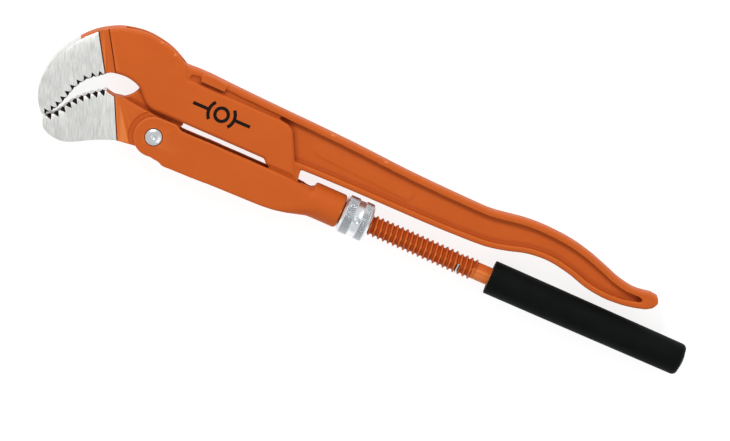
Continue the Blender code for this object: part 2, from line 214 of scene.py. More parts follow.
def offset(points, distance, closed=False):
    """The line moved sideways, to its left when distance is positive."""
    spans = [Vector(b) - Vector(a) for a, b in zip(points, list(points[1:]) + [points[0]])]
    lefts = [Vector((-span.y, span.x)).normalized() for span in spans]
    if not closed:
        lefts[-1] = lefts[-2]
    moved = []
    for i, point in enumerate(points):
        before = lefts[i - 1] if i or closed else lefts[0]
        corner = (before + lefts[i]) / max(0.5, 1 + before.dot(lefts[i]))
        moved.append(tuple(Vector(point) + corner * distance))
    return moved


# ---------------------------------------------------------------- shaping


def only(*pieces):
    """Selects these pieces and nothing else, and makes the first one active."""
    bpy.ops.object.select_all(action="DESELECT")
    for piece in pieces:
        piece.select_set(True)
    bpy.context.view_layer.objects.active = pieces[0]


@contextmanager
def editing(piece, kind="VERT"):
    """Edit mode on one piece."""
    only(piece)
    # Set before edit mode, so that what was selected in code stays selected
    bpy.context.tool_settings.mesh_select_mode = [kind == each for each in ("VERT", "EDGE", "FACE")]
    bpy.ops.object.mode_set(mode="EDIT")
    yield
    bpy.ops.object.mode_set(mode="OBJECT")


def face_outwards(piece):
    """Closes seams and turns every face outwards."""
    with editing(piece):
        bpy.ops.mesh.select_all(action="SELECT")
        bpy.ops.mesh.remove_doubles(threshold=1e-6)
        bpy.ops.mesh.normals_make_consistent(inside=False)


def circle(name, corners, fill):
    """A small circle, whose corners are then set on a drawn line."""
    bpy.ops.object.select_all(action="DESELECT")
    bpy.ops.mesh.primitive_circle_add(vertices=len(corners), radius=MM, fill_type=fill)
    made = bpy.context.object
    made.name = name
    for vertex, place in zip(made.data.vertices, corners):
        vertex.co = place
    return made


def loft(name, sections):
    """A solid through outlines of as many corners each, extruded from one to the next."""
    made = circle(name, sections[0], "NGON")
    ring = list(range(len(sections[0])))
    for section in sections[1:]:
        with editing(made, "FACE"):
            bpy.ops.mesh.extrude_region()
        vertices = made.data.vertices
        new = {tuple(v.co): v.index for v in vertices if v.select and v.index not in ring}
        ring = [new[tuple(vertices[i].co)] for i in ring]
        for index, place in zip(ring, section):
            vertices[index].co = place
    face_outwards(made)
    return made


def block(name, outline, low, high, flare=0.0):
    """A block over an outline between two heights; its top is wider by the flare."""
    top = offset(outline, flare, True) if flare else outline
    return loft(name, [[at(u, v, low) for u, v in outline], [at(u, v, high) for u, v in top]])


def rounded_block(name, outline, half, edge, drop):
    """A block about the middle plane, its rims chamfered on both sides."""
    inner = offset(outline, -edge, True)
    levels = [(inner, -half), (outline, drop - half), (outline, half - drop), (inner, half)]
    return loft(name, [[at(u, v, w) for u, v in line] for line, w in levels])


def turned(name, profile, centre, axis, across, sides, closed):
    """A profile of (distance along, radius) spun about an axis."""
    line = [centre + axis * along * MM + across * radius * MM for along, radius in profile]
    made = circle(name, line, "NOTHING")
    if not closed:
        ends = {0, len(line) - 1}
        for edge in made.data.edges:
            edge.select = set(edge.vertices) == ends
        for vertex in made.data.vertices:
            vertex.select = vertex.index in ends
        with editing(made, "EDGE"):
            bpy.ops.mesh.delete(type="EDGE")
    with editing(made):
        bpy.ops.mesh.select_all(action="SELECT")
        bpy.ops.mesh.spin(steps=sides, angle=2 * pi, center=centre, axis=axis)
    face_outwards(made)
    return made


def turned_on_rod(name, profile, sides, closed):
    """A profile of (u, radius) spun about the rod's axis."""
    return turned(name, profile, at(0, AXIS_V), Vector((1, 0, 0)), Vector((0, 1, 0)), sides, closed)


def turned_upright(name, profile, u, v, sides, closed=False):
    """A profile of (w, radius) spun about a line square to the wrench's side."""
    return turned(name, profile, at(u, v), Vector((0, 0, 1)), Vector((1, 0, 0)), sides, closed)


def change(piece, kind, **settings):
    """Adds a modifier and applies it."""
    only(piece)
    bpy.ops.object.modifier_add(type=kind)
    modifier = piece.modifiers[-1]
    for name, value in settings.items():
        setattr(modifier, name, value)
    bpy.ops.object.modifier_apply(modifier=modifier.name)


def joined(pieces):
    """One object from several."""
    only(*pieces)
    if len(pieces) > 1:
        bpy.ops.object.join()
    return pieces[0]


def boolean(piece, operation, *tools):
    """Cuts the tools out of a piece, or adds them to it; their faces keep their material."""
    tool = joined(tools)
    change(piece, "BOOLEAN", operation=operation, solver="EXACT", object=tool,
           material_mode="TRANSFER")
    bpy.data.objects.remove(tool)


def forge(piece, grain, rounds):
    """Runs blocks together into one forging with soft corners."""
    change(piece, "REMESH", mode="VOXEL", voxel_size=grain)
    change(piece, "SMOOTH", factor=0.5, iterations=rounds)


def thin(piece):
    """Dissolves the edges inside flat faces, and keeps those where a material ends."""
    change(piece, "DECIMATE", decimate_type="DISSOLVE", angle_limit=radians(FLAT_DEG),
           delimit={"MATERIAL"})


def score(piece, point, normal):
    """Cuts a line of edges round a piece where a plane crosses it."""
    with editing(piece):
        bpy.ops.mesh.select_all(action="SELECT")
        bpy.ops.mesh.bisect(plane_co=point, plane_no=normal, use_fill=False)


def coat(piece, *materials):
    """Gives a piece its materials."""
    piece.data.materials.clear()
    for material in materials:
        piece.data.materials.append(material)
    return piece


def slot_of(piece, material):
    """The number of a material's slot on a piece."""
    if material.name not in piece.data.materials:
        piece.data.materials.append(material)
    return piece.data.materials.find(material.name)


def finish_piece(piece, body, node, sharp=32.0):
    """Shades a finished piece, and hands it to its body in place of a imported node."""
    only(piece)
    bpy.ops.object.shade_smooth_by_angle(angle=radians(sharp))
    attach(piece, body)
    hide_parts(node)


def line_frame(line):
    """Start, direction and right-hand normal of a drawn line, with the middle plane."""
    start, end = (Vector(p) for p in line)
    along = (end - start).normalized()
    return start, along, Vector((-along.y, along.x))


# ---------------------------------------------------------------- materials


def add(tree, kind, sockets=None, output=0, **settings):
    """Adds a node with its settings and links, and gives back one of its outputs."""
    node = tree.nodes.new("ShaderNode" + kind)
    for name, value in settings.items():
        setattr(node, name, value)
    for name, value in (sockets or {}).items():
        if isinstance(value, bpy.types.NodeSocket):
            tree.links.new(value, node.inputs[name])
        else:
            node.inputs[name].default_value = value
    return node.outputs[output] if node.outputs else None


def new_material(name):
    """An empty material, its node tree, and the object's coordinates in mm."""
    material = bpy.data.materials.new(name)
    material.use_nodes = True
    tree = material.node_tree
    tree.nodes.clear()
    place = add(tree, "TexCoord", output="Object")
    return material, tree, add(tree, "Mapping", {"Vector": place, "Scale": (1 / MM,) * 3})


def once(make):
    """Keeps a material that is made once and used on several pieces."""
    kept = {}

    def get():
        if make.__name__ not in kept:
            kept[make.__name__] = make()
        return kept[make.__name__]
    return get


def settings():
    """The sizes and colours that the user has set."""
    return bpy.context.scene.pipe_wrench


def powder_coat(name, colour, printed):
    """Baked powder coat over a shot-blasted forging: satin, with a fine orange-peel skin.

    Its colour is darkened and reddened in corners as painted shade, and paled over edges as a painted highlight.
    """
    material, tree, place = new_material(name)
    # Drifts of slightly thicker powder, 14 mm across
    drift = add(tree, "TexNoise", {"Vector": place, "Scale": 1 / 14.0, "Detail": 3.0})
    drift = add(tree, "MapRange", {"Value": drift, "From Min": 0.35, "From Max": 0.65, "To Max": 0.2})
    base = add(tree, "Mix", {0: drift, 6: (*colour, 1), 7: linear("#B34C16")}, 2, data_type="RGBA")
    # Painted shade: within 2.5 mm of a wall the colour is mixed towards a dark red, where shade falls in corners
    open_sky = add(tree, "AmbientOcclusion", {"Distance": 2.5 * MM}, "AO", samples=8, only_local=True)
    painted_corner_shade = add(tree, "MapRange", {"Value": open_sky, "From Min": 0.97, "From Max": 0.55, "To Max": 0.9})
    base = add(tree, "Mix", {0: painted_corner_shade, 6: base, 7: linear("#7A2606")}, 2, data_type="RGBA")
    # Painted highlight: convex edges are mixed towards a pale orange, where light catches them
    bend = add(tree, "NewGeometry", output="Pointiness")
    edge = add(tree, "MapRange", {"Value": bend, "From Min": 0.515, "From Max": 0.59, "To Max": 0.7})
    base = add(tree, "Mix", {0: edge, 6: base, 7: linear("#DF8244")}, 2, data_type="RGBA")
    patch = add(tree, "TexNoise", {"Vector": place, "Scale": 1 / 5.0})
    rough = add(tree, "MapRange", {"Value": patch, "From Min": 0.3, "From Max": 0.7,
                                   "To Min": 0.48, "To Max": 0.6})
    if printed:
        ink = printed_mark(tree, place)
        base = add(tree, "Mix", {0: ink, 6: base, 7: linear("#120B08")}, 2, data_type="RGBA")
        matt = add(tree, "Math", {0: ink, 1: 0.08}, operation="MULTIPLY")
        rough = add(tree, "Math", {0: rough, 1: matt}, operation="ADD")
    # Peel 0.9 mm across, drawn a little coarser than the real 0.5 mm so that it shows
    peel = add(tree, "TexNoise", {"Vector": place, "Scale": 1 / 0.9, "Detail": 1.0})
    peel = add(tree, "Bump", {"Height": peel, "Distance": 0.014 * MM})
    # Scale left by the forging dies, in patches 4 mm across
    forged = add(tree, "TexNoise", {"Vector": place, "Scale": 1 / 4.0, "Detail": 4.0})
    forged = add(tree, "Bump", {"Height": forged, "Distance": 0.1 * MM, "Normal": peel})
    shader = add(tree, "BsdfPrincipled", {"Base Color": base, "Roughness": rough, "Normal": forged,
                                          "IOR": 1.5, "Specular IOR Level": 0.12})
    add(tree, "OutputMaterial", {"Surface": shader})
    return material


def printed_mark(tree, place):
    """Where the printed mark lies: a pipe held between two jaws, with a bar on each side."""
    centre = drawn((0, 0, 0)) - Vector((*MARK_CENTRE, 0))
    lie = add(tree, "Mapping", {"Vector": place, "Location": centre})
    along, up, out = (add(tree, "SeparateXYZ", {0: lie}, axis) for axis in "XYZ")
    flat = add(tree, "CombineXYZ", {"X": along, "Y": up})
    reach = add(tree, "VectorMath", {0: flat}, "Value", operation="LENGTH")
    away = add(tree, "Math", {0: along}, operation="ABSOLUTE")
    height = add(tree, "Math", {0: up}, operation="ABSOLUTE")
    pipe = add(tree, "Math", {0: reach, 1: MARK_PIPE, 2: MARK_LINE}, operation="COMPARE")
    jaws = add(tree, "Math", {0: reach, 1: MARK_JAW, 2: MARK_LINE}, operation="COMPARE")
    steep = add(tree, "Math", {0: height, 1: 1.1}, operation="MULTIPLY")
    beside = add(tree, "Math", {0: away, 1: steep}, operation="GREATER_THAN")
    jaws = add(tree, "Math", {0: jaws, 1: beside}, operation="MULTIPLY")
    bars = add(tree, "Math", {0: away, 1: MARK_JAW + MARK_BAR / 2, 2: MARK_BAR / 2}, operation="COMPARE")
    thin_line = add(tree, "Math", {0: height, 1: MARK_LINE}, operation="LESS_THAN")
    bars = add(tree, "Math", {0: bars, 1: thin_line}, operation="MULTIPLY")
    mark = add(tree, "Math", {0: pipe, 1: jaws}, operation="MAXIMUM")
    mark = add(tree, "Math", {0: mark, 1: bars}, operation="MAXIMUM")
    front = add(tree, "Math", {0: out, 1: HEAD_HALF - 0.5}, operation="GREATER_THAN")
    return add(tree, "Math", {0: mark, 1: front}, operation="MULTIPLY")


@once
def arm_coat():
    """The arm's coat, with the mark printed on its plate."""
    return powder_coat("powder_coated_forging", settings().coat_colour, True)


@once
def jaw_coat():
    """The same coat on the jaw and the yoke."""
    return powder_coat("powder_coated_jaw", settings().coat_colour, False)


@once
def thread_coat():
    """The same coat where it fills a thread, thicker and redder."""
    return powder_coat("powder_coated_thread", settings().thread_colour, False)


@once
def ground_steel():
    """Chrome vanadium steel with belt-ground sides: fine straight scratches, satin shine."""
    material, tree, place = new_material("belt_ground_steel")
    lines = add(tree, "Mapping", {"Vector": place, "Rotation": (0, 0, radians(-23.6))})
    # Grit scratches run across the jaw, 0.35 mm apart, drawn coarser than the real 0.1 mm
    lines = add(tree, "Mapping", {"Vector": lines, "Scale": (1.0, 0.07, 0.3)})
    fine = add(tree, "TexNoise", {"Vector": lines, "Scale": 1 / 0.35, "Detail": 4.0, "Roughness": 0.6})
    broad = add(tree, "TexNoise", {"Vector": lines, "Scale": 1 / 1.6})
    steel = (*settings().steel_colour, 1)
    share = add(tree, "MapRange", {"Value": fine, "From Min": 0.3, "From Max": 0.7})
    base = add(tree, "Mix", {0: share, 6: linear("#C4C5C1"), 7: steel}, 2, data_type="RGBA")
    share = add(tree, "MapRange", {"Value": broad, "From Min": 0.4, "From Max": 0.7, "To Max": 0.3})
    base = add(tree, "Mix", {0: share, 6: base, 7: linear("#FFFFFC")}, 2, data_type="RGBA")
    cloud = add(tree, "TexNoise", {"Vector": place, "Scale": 1 / 20.0})
    share = add(tree, "MapRange", {"Value": cloud, "From Min": 0.35, "From Max": 0.65, "To Max": 0.12})
    base = add(tree, "Mix", {0: share, 6: base, 7: linear("#9C9D9B")}, 2, data_type="RGBA")
    rough = add(tree, "MapRange", {"Value": fine, "From Min": 0.3, "From Max": 0.7,
                                   "To Min": 0.32, "To Max": 0.5})
    scratch = add(tree, "Bump", {"Height": fine, "Distance": 0.02 * MM})
    shader = add(tree, "BsdfPrincipled", {"Base Color": base, "Metallic": 0.75, "Roughness": rough,
                                          "Normal": scratch})
    add(tree, "OutputMaterial", {"Surface": shader})
    return material


@once
def painted_hollow_shade():
    """Near-black steel with a faint purple cloud: painted shade for the tooth gaps and the stop ring's groove."""
    material, tree, place = new_material("painted_shade_in_hollows")
    cloud = add(tree, "TexNoise", {"Vector": place, "Scale": 1 / 0.8, "Detail": 3.0})
    share = add(tree, "MapRange", {"Value": cloud, "From Min": 0.35, "From Max": 0.7, "To Max": 0.8})
    base = add(tree, "Mix", {0: share, 6: linear("#1A0F12"), 7: linear("#46292F")}, 2, data_type="RGBA")
    grain = add(tree, "Bump", {"Height": cloud, "Distance": 0.05 * MM})
    shader = add(tree, "BsdfPrincipled", {"Base Color": base, "Roughness": 0.8, "Normal": grain,
                                          "Specular IOR Level": 0.15})
    add(tree, "OutputMaterial", {"Surface": shader})
    return material


@once
def zinc_plate():
    """Bright zinc plate on turned and knurled steel: pale, slightly blue, fine turning lines."""
    material, tree, place = new_material("bright_zinc_plate")
    # Turning lines 0.3 mm apart, drawn coarser than the real 0.1 mm
    lines = add(tree, "Mapping", {"Vector": place, "Scale": (1.0, 0.02, 0.02)})
    fine = add(tree, "TexNoise", {"Vector": lines, "Scale": 1 / 0.3})
    cloud = add(tree, "TexNoise", {"Vector": place, "Scale": 1 / 3.0, "Detail": 3.0})
    share = add(tree, "MapRange", {"Value": cloud, "From Min": 0.3, "From Max": 0.7, "To Max": 0.4})
    zinc = (*settings().zinc_colour, 1)
    base = add(tree, "Mix", {0: share, 6: zinc, 7: linear("#CDD1D5")}, 2, data_type="RGBA")
    # Painted shade: within 0.8 mm of the valleys between the knurl's diamonds the zinc is darkened, where shade
    # falls there
    open_sky = add(tree, "AmbientOcclusion", {"Distance": 0.8 * MM}, "AO", samples=8, only_local=True)
    painted_valley_shade = add(tree, "MapRange", {"Value": open_sky, "From Min": 0.84, "From Max": 0.45, "To Max": 0.7})
    base = add(tree, "Mix", {0: painted_valley_shade, 6: base, 7: linear("#54585C")}, 2, data_type="RGBA")
    rough = add(tree, "MapRange", {"Value": cloud, "From Min": 0.3, "From Max": 0.7,
                                   "To Min": 0.22, "To Max": 0.36})
    turned_lines = add(tree, "Bump", {"Height": fine, "Distance": 0.012 * MM})
    shader = add(tree, "BsdfPrincipled", {"Base Color": base, "Metallic": 0.9, "Roughness": rough,
                                          "Normal": turned_lines})
    add(tree, "OutputMaterial", {"Surface": shader})
    return material


@once
def cut_steel():
    """Cold-headed rivet steel, its domes polished: mirror-like with faint clouds."""
    material, tree, place = new_material("polished_rivet_steel")
    cloud = add(tree, "TexNoise", {"Vector": place, "Scale": 1 / 1.2, "Detail": 3.0})
    share = add(tree, "MapRange", {"Value": cloud, "From Min": 0.3, "From Max": 0.7, "To Max": 0.5})
    base = add(tree, "Mix", {0: share, 6: linear("#E6E8EA"), 7: linear("#B9BEC6")}, 2, data_type="RGBA")
    rough = add(tree, "MapRange", {"Value": cloud, "From Min": 0.3, "From Max": 0.7,
                                   "To Min": 0.16, "To Max": 0.3})
    dents = add(tree, "Bump", {"Height": cloud, "Distance": 0.01 * MM})
    shader = add(tree, "BsdfPrincipled", {"Base Color": base, "Metallic": 1.0, "Roughness": rough,
                                          "Normal": dents})
    add(tree, "OutputMaterial", {"Surface": shader})
    return material


@once
def spring_wire():
    """Drawn spring wire: bright, with short pale and dull stretches."""
    material, tree, place = new_material("drawn_spring_wire")
    cloud = add(tree, "TexNoise", {"Vector": place, "Scale": 1 / 0.5})
    base = add(tree, "Mix", {0: cloud, 6: linear("#ECEEEE"), 7: linear("#B4B7B8")}, 2, data_type="RGBA")
    rough = add(tree, "MapRange", {"Value": cloud, "From Min": 0.3, "From Max": 0.7,
                                   "To Min": 0.22, "To Max": 0.35})
    dents = add(tree, "Bump", {"Height": cloud, "Distance": 0.01 * MM})
    shader = add(tree, "BsdfPrincipled", {"Base Color": base, "Metallic": 1.0, "Roughness": rough,
                                          "Normal": dents})
    add(tree, "OutputMaterial", {"Surface": shader})
    return material


@once
def dipped_sleeve():
    """Dip-moulded black PVC: deep black, matt, with faint clouding and a fine grain."""
    material, tree, place = new_material("dipped_black_pvc")
    cloud = add(tree, "TexNoise", {"Vector": place, "Scale": 1 / 9.0, "Detail": 3.0})
    share = add(tree, "MapRange", {"Value": cloud, "From Min": 0.3, "From Max": 0.7, "To Max": 0.6})
    rubber = (*settings().sleeve_colour, 1)
    base = add(tree, "Mix", {0: share, 6: rubber, 7: linear("#101413")}, 2, data_type="RGBA")
    rough = add(tree, "MapRange", {"Value": cloud, "From Min": 0.3, "From Max": 0.7,
                                   "To Min": 0.55, "To Max": 0.7})
    # Grain 0.5 mm across over waves 9 mm long, as a dipped skin sets
    waves = add(tree, "Bump", {"Height": cloud, "Distance": 0.12 * MM})
    grain = add(tree, "TexNoise", {"Vector": place, "Scale": 1 / 0.5})
    grain = add(tree, "Bump", {"Height": grain, "Distance": 0.012 * MM, "Normal": waves})
    shader = add(tree, "BsdfPrincipled", {"Base Color": base, "Roughness": rough, "Normal": grain,
                                          "IOR": 1.53, "Specular IOR Level": 0.06})
    add(tree, "OutputMaterial", {"Surface": shader})
    return material


# ---------------------------------------------------------------- outlines


UPPER_BITE = smooth([(-32.2, 17.3), (-38.6, 12.4), (-42.5, 6.4), (-44.4, 0.0), (-46.9, -6.3),
                     (-50.6, -10.8)])
LOWER_BITE = smooth([(-49.4, -11.4), (-46.0, -8.6), (-43.6, -5.2), (-41.8, -2.0), (-39.4, 1.4),
                     (-36.0, 4.8), (-32.6, 7.6), (-28.6, 10.6)])


def head_outline():
    """Hook, head and raised plate, from the hook's tip over the top and back."""
    hook = smooth([(-51.6, -11.3), (-55.9, -5.4), (-57.9, 1.5), (-57.9, 8.5), (-56.4, 15.5),
                   (-53.0, 22.5), (-48.3, 29.3), (-42.6, 35.0), (-35.2, 39.5), (-29.5, 41.4),
                   (-22.5, 42.58), (-15.3, 42.2), (-7.4, 40.4), (0.6, 36.5)])
    plate = [(4.0, 30.9), (50.0, 30.9)] + smooth([(54.6, 30.2), (57.2, 28.6), (58.6, 26.4)], 3)
    foot = [(67.6, 9.0), (52.6, 9.0), (50.6, 11.2)]
    throat = smooth([(-5.6, 11.2), (-8.8, 12.4), (-11.8, 14.9), (-14.6, 17.8), (-18.0, 19.4),
                     (-22.6, 20.2), (-27.0, 19.8), (-29.9, 19.2)])
    return hook + plate + foot + throat + [(-31.4, 18.2)] + offset(UPPER_BITE[1:], 0.35)


def handle_edges():
    """Upper and lower edges of the handle, both from the head towards its end."""
    upper = smooth([(-8.0, 35.6), (0.8, 36.2), (10.4, 36.6), (20.7, 36.2), (40.3, 35.4),
                    (83.5, 34.0), (116.1, 32.1), (147.9, 31.3), (156.6, 31.5), (163.4, 32.5),
                    (173.2, 34.0), (183.8, 34.3), (195.0, 33.5), (205.0, 31.5), (215.0, 28.4),
                    (222.0, 26.0), (230.4, 24.6), (238.2, 25.7)])
    lower = smooth([(60.0, 12.8), (75.0, 13.4), (92.4, 13.7), (113.4, 13.8), (134.5, 13.9),
                    (155.3, 14.6), (163.4, 15.5), (170.9, 17.3), (179.4, 19.7), (189.4, 20.5),
                    (200.0, 18.9), (210.0, 16.1), (219.0, 15.0), (227.0, 15.3), (233.8, 16.4),
                    (239.4, 18.0)])
    return upper, lower


def notches(bite, count):
    """Tooth gaps square to a bite line: deep at both faces and shallow in the middle."""
    made = []
    for i in range(count):
        place, out = at_length(bite, (i + 0.5) / count)
        along = Vector((out.y, -out.x))
        sections = []
        for w, depth in NOTCH_DEPTHS:
            half = 0.55 * (depth + 0.35)
            top = place + out * 0.35
            corners = [top - along * half, top + along * half, place - out * depth + along * 0.3]
            sections.append([at(p.x, p.y, w) for p in corners])
        made.append(loft("notch", sections))
    # The gaps are coated near-black, as painted shade in them
    return coat(joined(made), painted_hollow_shade())


def relief(line, side, floor):
    """A cutter along a drawn line, whose floor passes through (distance from it, height)."""
    origin, along, right = line_frame(line)
    top = HEAD_HALF + PAST
    corners = floor + [(floor[-1][0], top), (floor[0][0], top)]
    sections = []
    for run in (-30.0, 60.0):
        places = [(origin + along * run + right * reach, side * height) for reach, height in corners]
        sections.append([at(place.x, place.y, w) for place, w in places])
    return loft("relief", sections)


# ---------------------------------------------------------------- pieces


def make_upper_arm():
    """The forged arm: hook jaw, slotted head, raised plate, lug and I-section handle."""
    sizes = settings()
    upper, lower = handle_edges()
    tip = smooth([(241.8, 25.4), (243.7, 22.9), (242.2, 19.7)])
    handle = rounded_block("handle", upper + tip + lower[::-1] + [(40.0, 20.0), (-8.0, 28.0)],
                           RIM_HALF, 0.7, 0.7)
    inner_upper = [p for p in offset(upper, -RIM_WIDTH) if 7.0 < p[0] < 230.0]
    inner_lower = [p for p in offset(lower, RIM_WIDTH) if p[0] < 229.0]
    inner_tip = smooth([(234.4, 21.9), (236.4, 21.0), (234.4, 19.9)], 3)
    recess = [(4.6, 31.4), (4.8, 33.2)] + inner_upper + inner_tip + inner_lower[::-1] + [(50.0, 16.0), (46.0, 29.0)]
    for side in (1, -1):
        web = block("web", recess, side * WEB_HALF, side * (RIM_HALF + PAST), 0.9)
        boolean(handle, "DIFFERENCE", web)
    panel = arc((73.0, 24.6), 2.5, 90, 270, 12) + arc((118.0, 22.4), 2.5, -90, 90, 12)
    lug = [(54.2, 14.0), (54.2, 0.0)] + arc((PIN_U, 2.6), 7.3, 200, 330, 12) + [(69.0, 8.0), (68.0, 14.0)]
    boss = [(9.4, 32.3), (9.4, 36.0), (12.0, 36.4), (19.4, 36.1), (21.4, 35.6), (21.4, 32.3)]
    arm = rounded_block("arm_forging", head_outline(), HEAD_HALF, 1.2, 0.75)
    arm = joined([arm, handle,
                  block("panel", panel, -WEB_HALF - 0.35, WEB_HALF + 0.35),
                  block("lug", lug, -LUG_HALF, LUG_HALF),
                  block("shelf", [(3.0, 29.0), (3.0, 34.0), (50.0, 34.0), (50.0, 29.0)], -4.5, 4.5),
                  block("boss", boss, -HEAD_HALF, HEAD_HALF)])
    forge(arm, sizes.grain * 1.2, 3)
    coat(arm, arm_coat())

    slot = [(-29.9, 8.0), (-31.9, 50.0), (-1.0, 50.0), (0.0, 22.0), (50.0, 22.0), (55.8, 17.5),
            (56.4, 9.6), (72.0, 9.6), (72.0, -12.0), (50.0, -12.0), (50.0, 8.0)]
    floor = [(-70.0, GROUND_HALF), (0.0, GROUND_HALF), (0.0, TROUGH_DEEP - LINE_DEPTH),
             (LINE_WIDTH, TROUGH_DEEP - LINE_DEPTH), (LINE_WIDTH, TROUGH_DEEP),
             (TROUGH_WIDTH - LINE_WIDTH, TROUGH_SHALLOW), (TROUGH_WIDTH - LINE_WIDTH, TROUGH_DEEP),
             (TROUGH_WIDTH, TROUGH_DEEP)]
    slot_cutter = block("slot", slot, -ARM_SLOT_HALF, ARM_SLOT_HALF)
    boolean(arm, "DIFFERENCE", coat(slot_cutter, arm_coat()))
    hole = turned_upright("hole", [(-9, 0), (-9, PIN_RADIUS + 0.3), (9, PIN_RADIUS + 0.3), (9, 0)],
                          PIN_U, AXIS_V, 32)
    cutters = [hole, relief(HOOK_LINE, 1, floor), relief(HOOK_LINE, -1, floor)]
    boolean(arm, "DIFFERENCE", *(coat(cutter, arm_coat()) for cutter in cutters))
    boolean(arm, "DIFFERENCE", notches(offset(UPPER_BITE, 0.35), 10))
    origin, along, right = line_frame(HOOK_LINE)
    score(arm, at(*origin), (right.x, right.y, 0))
    steel, paint = slot_of(arm, ground_steel()), slot_of(arm, arm_coat())
    for face in arm.data.polygons:
        u, v, w = drawn(face.center)
        behind = (Vector((u, v)) - origin).dot(right) < -0.01
        outer = hypot(u + 22, v - 6) > 33.0 and abs(face.normal.z) < 0.75
        if face.material_index == paint and behind and not (outer and u > -49.0):
            face.material_index = steel
    thin(arm)
    finish_piece(arm, "upper_arm", "upper_arm")


def make_lower_jaw():
    """The toothed jaw with its hub and the tongue that runs in the head's slot."""
    sizes = settings()
    crown = [(-28.0, 10.75), (-26.2, 10.3), (-24.3, 10.0), (-22.4, 10.3), (-20.2, 10.75),
             (-18.8, 10.85), (-8.1, 9.8)]
    hub = arc((0, 0), HUB_RADIUS, 95, -125, 30)
    belly = smooth([(-10.2, -8.0), (-14.9, -8.7), (-20.3, -10.7), (-26.1, -13.5), (-31.6, -16.6),
                    (-36.5, -18.8), (-40.6, -19.2), (-45.2, -18.4), (-48.6, -16.3), (-50.1, -13.2)])
    outline = offset(LOWER_BITE, 0.35) + crown + hub + belly
    jaw = rounded_block("jaw_forging", outline, JAW_HALF + 0.1, 0.6, 0.6)
    front = smooth([(-20.2, 10.7), (-17.0, 13.2), (-15.2, 16.0), (-14.6, 18.4)])
    top = [(-13.4, 19.4), (-5.0, 19.7), (5.0, 19.0), (9.4, 15.0), (10.4, 10.0), (9.0, 7.4)]
    tongue = block("tongue", front + top + [(0.0, 5.0), (-19.0, 5.0)], -TONGUE_HALF, TONGUE_HALF)
    for side in (1, -1):
        ring = [(side * HUB_HALF, 0), (side * HUB_HALF, HUB_CLEARANCE_RADIUS),
                (side * 6.6, HUB_CLEARANCE_RADIUS + 0.8), (side * 12, HUB_CLEARANCE_RADIUS + 0.8),
                (side * 12, 0)]
        boolean(jaw, "DIFFERENCE", turned_upright("cheek", ring, 0, 0, 96))
    jaw = joined([jaw, tongue])
    forge(jaw, sizes.grain * 0.85, 3)
    coat(jaw, jaw_coat())
    hole = turned_upright("hole", [(-9, 0), (-9, RIVET_RADIUS + 0.2), (9, RIVET_RADIUS + 0.2), (9, 0)],
                          0, 0, 32)
    boolean(jaw, "DIFFERENCE", coat(hole, jaw_coat()))
    floor = [(-60.0, JAW_HALF), (0.0, JAW_HALF), (0.0, JAW_COAT_HALF - LINE_DEPTH),
             (LINE_WIDTH, JAW_COAT_HALF - LINE_DEPTH), (LINE_WIDTH, JAW_COAT_HALF), (40.0, JAW_COAT_HALF)]
    cutters = [relief(JAW_LINE, 1, floor), relief(JAW_LINE, -1, floor)]
    boolean(jaw, "DIFFERENCE", *(coat(cutter, jaw_coat()) for cutter in cutters))
    boolean(jaw, "DIFFERENCE", notches(offset(LOWER_BITE, 0.35), 9))
    origin, along, right = line_frame(JAW_LINE)
    score(jaw, at(*origin), (right.x, right.y, 0))
    score(jaw, at(LIP_START, 0), (1, 0, 0))
    steel, paint = slot_of(jaw, ground_steel()), slot_of(jaw, jaw_coat())
    for face in jaw.data.polygons:
        u, v, w = drawn(face.center)
        behind = (Vector((u, v)) - origin).dot(right) < -0.01
        lip = u > LIP_START and v > 8.6 and abs(face.normal.z) < 0.75
        if face.material_index == paint and behind and not lip:
            face.material_index = steel
    thin(jaw)
    finish_piece(jaw, "lower_jaw", "lower_jaw")


def yoke_section(u, high, low, half, square):
    """A cross-section of the yoke's body, from nearly square to round."""
    middle, reach = (high + low) / 2, (high - low) / 2
    corners = []
    for i in range(48):
        angle = 2 * pi * (i + 0.5) / 48
        x, y = cos(angle), sin(angle)
        x = abs(x) ** (2 / square) * (1 if x > 0 else -1)
        y = abs(y) ** (2 / square) * (1 if y > 0 else -1)
        corners.append(at(u, middle + reach * y, half * x))
    return corners


